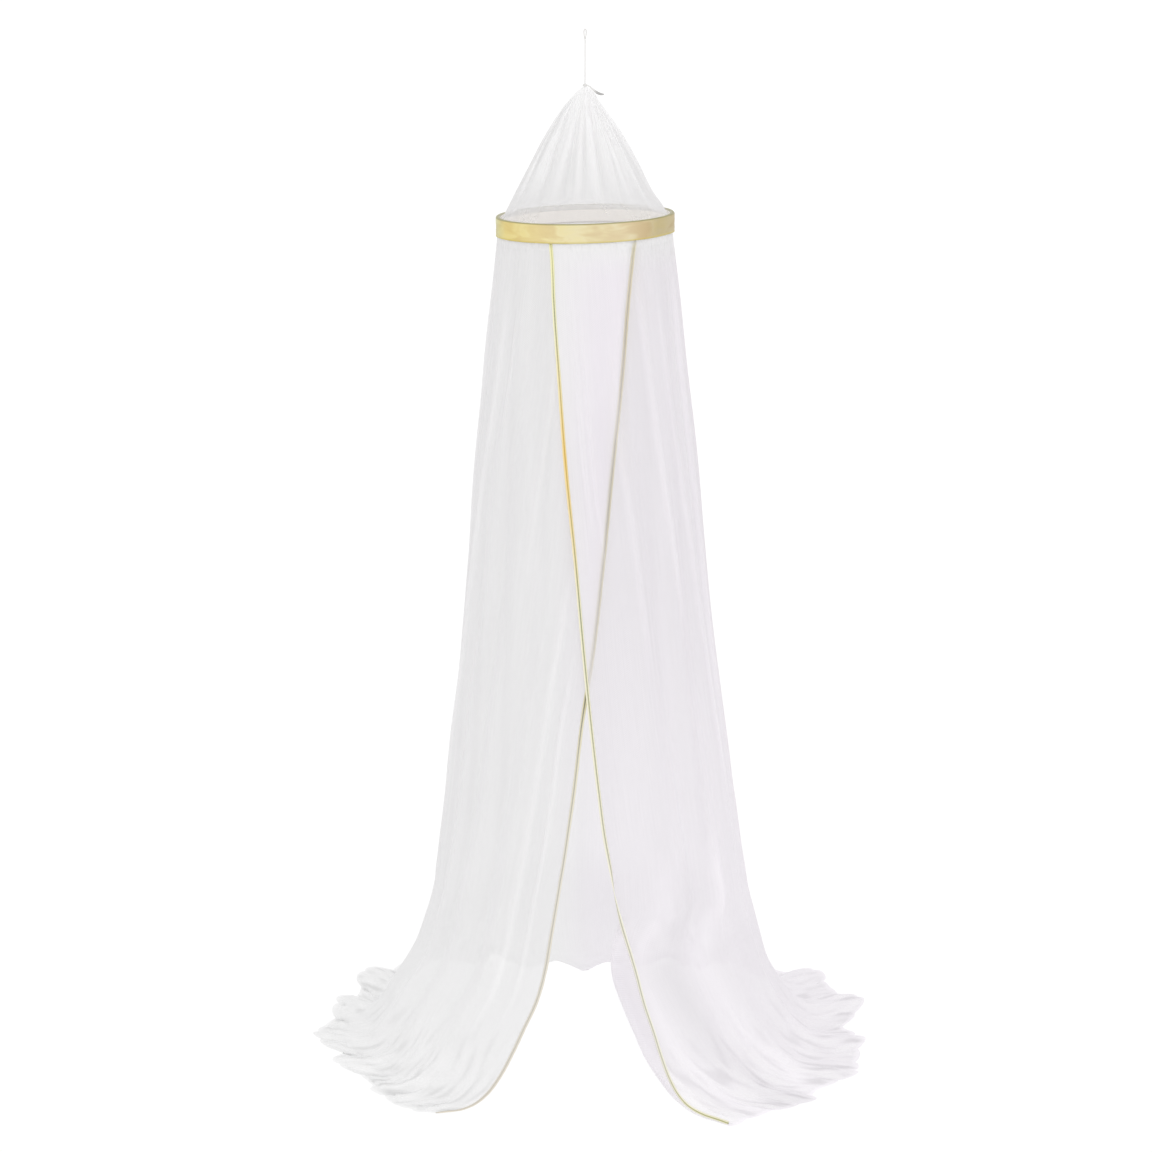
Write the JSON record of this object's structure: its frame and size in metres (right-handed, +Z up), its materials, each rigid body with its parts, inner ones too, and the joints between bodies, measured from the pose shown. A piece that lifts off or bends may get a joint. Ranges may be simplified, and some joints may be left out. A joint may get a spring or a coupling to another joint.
{
  "type": "bed canopy with hoop",
  "caption": "Sheer white net bed canopy: gathered cone on a cord, hoop in a gold satin band, long split wall that pools on the floor",
  "frame": {"origin": "The top of the hanging loop, where the ceiling hook holds it. The floor is 2.444 m lower, at Z = -2.444.", "axes": "+Z is up. -Y is the front, the side with the opening. +X is to the right of someone who looks at the front."},
  "size_m": [1.3768, 0.9513, 2.4439],
  "materials": {
    "sheer_net": "fine even white polyester net, sheer and matte",
    "gold_satin": "gold satin ribbon, soft sheen",
    "hoop_plastic": "white plastic tube, hidden inside the band",
    "cotton_cord": "thin white twisted cord",
    "grey_tape": "grey woven tape, matte"
  },
  "bodies": {
    "root": {"wall_net": "sheer_net", "cone_net": "sheer_net", "hoop_band": "gold_satin", "front_binding": "gold_satin", "rear_binding": "gold_satin", "hoop": "hoop_plastic", "hanging_cord": "cotton_cord", "hanging_loop": "cotton_cord", "neck_tie": "grey_tape"}
  },
  "joints": []
}
